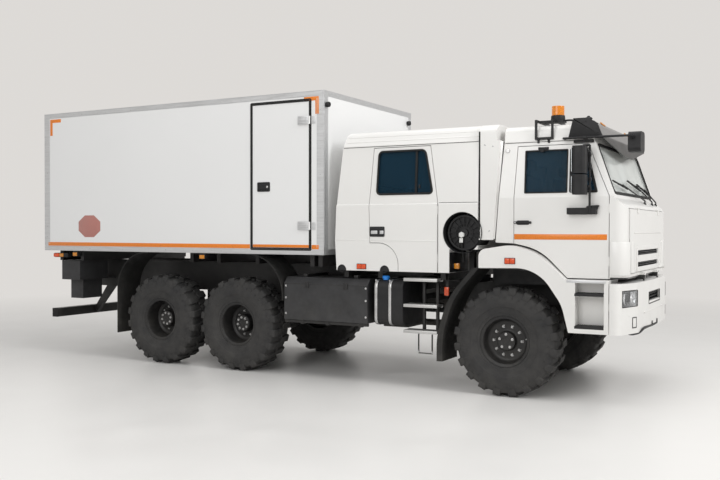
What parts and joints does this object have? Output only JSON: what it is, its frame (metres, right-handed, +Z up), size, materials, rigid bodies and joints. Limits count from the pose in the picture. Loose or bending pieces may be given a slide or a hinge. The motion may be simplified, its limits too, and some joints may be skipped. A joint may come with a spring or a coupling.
{
  "type": "military cargo truck",
  "caption": "White six-wheel-drive off-road cargo truck with a tilting cab, a crew module with its own door and a box van body with side and rear doors.",
  "frame": {"origin": "on the ground, at the middle of the truck's length and width", "axes": "+X forward to the front bumper, +Y to the truck's left, +Z up"},
  "size_m": [8.73, 2.85, 3.593],
  "materials": {
    "white_paint": "semi-gloss paint",
    "van_panel": "gel-coated panel",
    "aluminium": "mill finish",
    "black_steel": "satin paint",
    "black_plastic": "grained",
    "dark_grey": "grained",
    "tyre": "ribbed rubber",
    "rubber": "matt",
    "cast_iron": "as cast, painted",
    "glass": "clear",
    "lamp": "lens",
    "seat_fabric": "woven"
  },
  "bodies": {
    "chassis": {"chassis_frame": "black_steel", "power_train": "cast_iron", "front_axle": "black_steel", "rear_axles": "black_steel", "suspension": "black_steel", "bumper": "white_paint", "front_fenders": "white_paint", "mudguards": "rubber", "underrun_bar": "black_steel", "lockers": "dark_grey", "lamps": "lamp", "side_tanks": "black_plastic", "air_filter": "black_plastic", "crew_steps": "aluminium", "van_floor": "van_panel", "van_walls": "van_panel", "van_roof": "van_panel", "van_profiles": "aluminium", "crew_floor": "white_paint", "crew_walls": "white_paint", "crew_roof": "white_paint", "crew_window": "glass", "crew_fairing": "white_paint", "crew_seats": "seat_fabric"},
    "cab": {"cab_floor": "white_paint", "cab_shell": "white_paint", "cab_roof": "white_paint", "cab_front_panel": "white_paint", "cab_windscreen": "glass", "dashboard": "black_plastic", "cab_seats": "seat_fabric", "visor": "black_plastic", "roof_gear": "black_steel"},
    "cab_door_left": {"cab_door_left": "white_paint", "cab_glass_left": "glass", "mirror_left": "black_plastic"},
    "cab_door_right": {"cab_door_right": "white_paint", "cab_glass_right": "glass", "mirror_right": "black_plastic"},
    "crew_door": {"crew_door": "white_paint", "crew_door_glass": "glass"},
    "van_side_door": {"van_side_door": "van_panel"},
    "van_rear_door_left": {"van_rear_door_left": "van_panel"},
    "van_rear_door_right": {"van_rear_door_right": "van_panel"},
    "front_hatch": {"front_hatch": "white_paint"},
    "knuckle_left": {"knuckle_left": "black_steel"},
    "knuckle_right": {"knuckle_right": "black_steel"},
    "tie_rod": {"tie_rod": "black_steel"},
    "wheel_front_left": {"tyre_front_left": "tyre", "rim_front_left": "black_steel"},
    "wheel_front_right": {"tyre_front_right": "tyre", "rim_front_right": "black_steel"},
    "wheel_middle_left": {"tyre_middle_left": "tyre", "rim_middle_left": "black_steel"},
    "wheel_middle_right": {"tyre_middle_right": "tyre", "rim_middle_right": "black_steel"},
    "wheel_rear_left": {"tyre_rear_left": "tyre", "rim_rear_left": "black_steel"},
    "wheel_rear_right": {"tyre_rear_right": "tyre", "rim_rear_right": "black_steel"}
  },
  "joints": [
    {"name": "cab_tilt", "type": "hinge", "parent": "chassis", "child": "cab", "pos_m": [4.287, 0, 1.322], "axis": [0, 1, 0], "range_deg": [0, 50]},
    {"name": "steer_right", "type": "hinge", "parent": "chassis", "child": "knuckle_right", "pos_m": [2.935, -0.88, 0.615], "axis": [0, 0, 1], "range_deg": [-28, 28]},
    {"name": "steer_left", "type": "hinge", "parent": "chassis", "child": "knuckle_left", "pos_m": [2.935, 0.88, 0.615], "axis": [0, 0, 1], "range_deg": [-28, 28]},
    {"name": "tie_rod_pivot", "type": "hinge", "parent": "knuckle_right", "child": "tie_rod", "pos_m": [2.685, -0.775, 0.456], "axis": [0, 0, 1], "range_deg": [-32, 32]},
    {"name": "spin_front_left", "type": "hinge", "parent": "knuckle_left", "child": "wheel_front_left", "pos_m": [2.935, 1.02, 0.615], "axis": [0, 1, 0], "continuous": true},
    {"name": "spin_front_right", "type": "hinge", "parent": "knuckle_right", "child": "wheel_front_right", "pos_m": [2.935, -1.02, 0.615], "axis": [0, 1, 0], "continuous": true},
    {"name": "spin_middle_left", "type": "hinge", "parent": "chassis", "child": "wheel_middle_left", "pos_m": [-0.755, 1.02, 0.615], "axis": [0, 1, 0], "continuous": true},
    {"name": "spin_middle_right", "type": "hinge", "parent": "chassis", "child": "wheel_middle_right", "pos_m": [-0.755, -1.02, 0.615], "axis": [0, 1, 0], "continuous": true},
    {"name": "spin_rear_left", "type": "hinge", "parent": "chassis", "child": "wheel_rear_left", "pos_m": [-2.075, 1.02, 0.615], "axis": [0, 1, 0], "continuous": true},
    {"name": "spin_rear_right", "type": "hinge", "parent": "chassis", "child": "wheel_rear_right", "pos_m": [-2.075, -1.02, 0.615], "axis": [0, 1, 0], "continuous": true},
    {"name": "cab_door_left_hinge", "type": "hinge", "parent": "cab", "child": "cab_door_left", "pos_m": [4.0685, 1.15, 2], "axis": [0, 0, -1], "range_deg": [0, 65]},
    {"name": "cab_door_right_hinge", "type": "hinge", "parent": "cab", "child": "cab_door_right", "pos_m": [4.0685, -1.15, 2], "axis": [0, 0, 1], "range_deg": [0, 65]},
    {"name": "crew_door_hinge", "type": "hinge", "parent": "chassis", "child": "crew_door", "pos_m": [2.1145, -1.19, 2], "axis": [0, 0, 1], "range_deg": [0, 80]},
    {"name": "van_side_door_hinge", "type": "hinge", "parent": "chassis", "child": "van_side_door", "pos_m": [0.4125, -1.264, 2.5], "axis": [0, 0, 1], "range_deg": [0, 100]},
    {"name": "van_rear_door_left_hinge", "type": "hinge", "parent": "chassis", "child": "van_rear_door_left", "pos_m": [-4.329, 1.1465, 2.5], "axis": [0, 0, -1], "range_deg": [0, 180]},
    {"name": "van_rear_door_right_hinge", "type": "hinge", "parent": "chassis", "child": "van_rear_door_right", "pos_m": [-4.329, -1.1465, 2.5], "axis": [0, 0, 1], "range_deg": [0, 180]},
    {"name": "front_hatch_hinge", "type": "hinge", "parent": "cab", "child": "front_hatch", "pos_m": [4.266, 0, 2.101], "axis": [0, -1, 0], "range_deg": [0, 60]}
  ],
  "couplings": [
    {"joint": "steer_left", "follows": "steer_right", "ratio": 1},
    {"joint": "tie_rod_pivot", "follows": "steer_right", "ratio": -1.128}
  ]
}
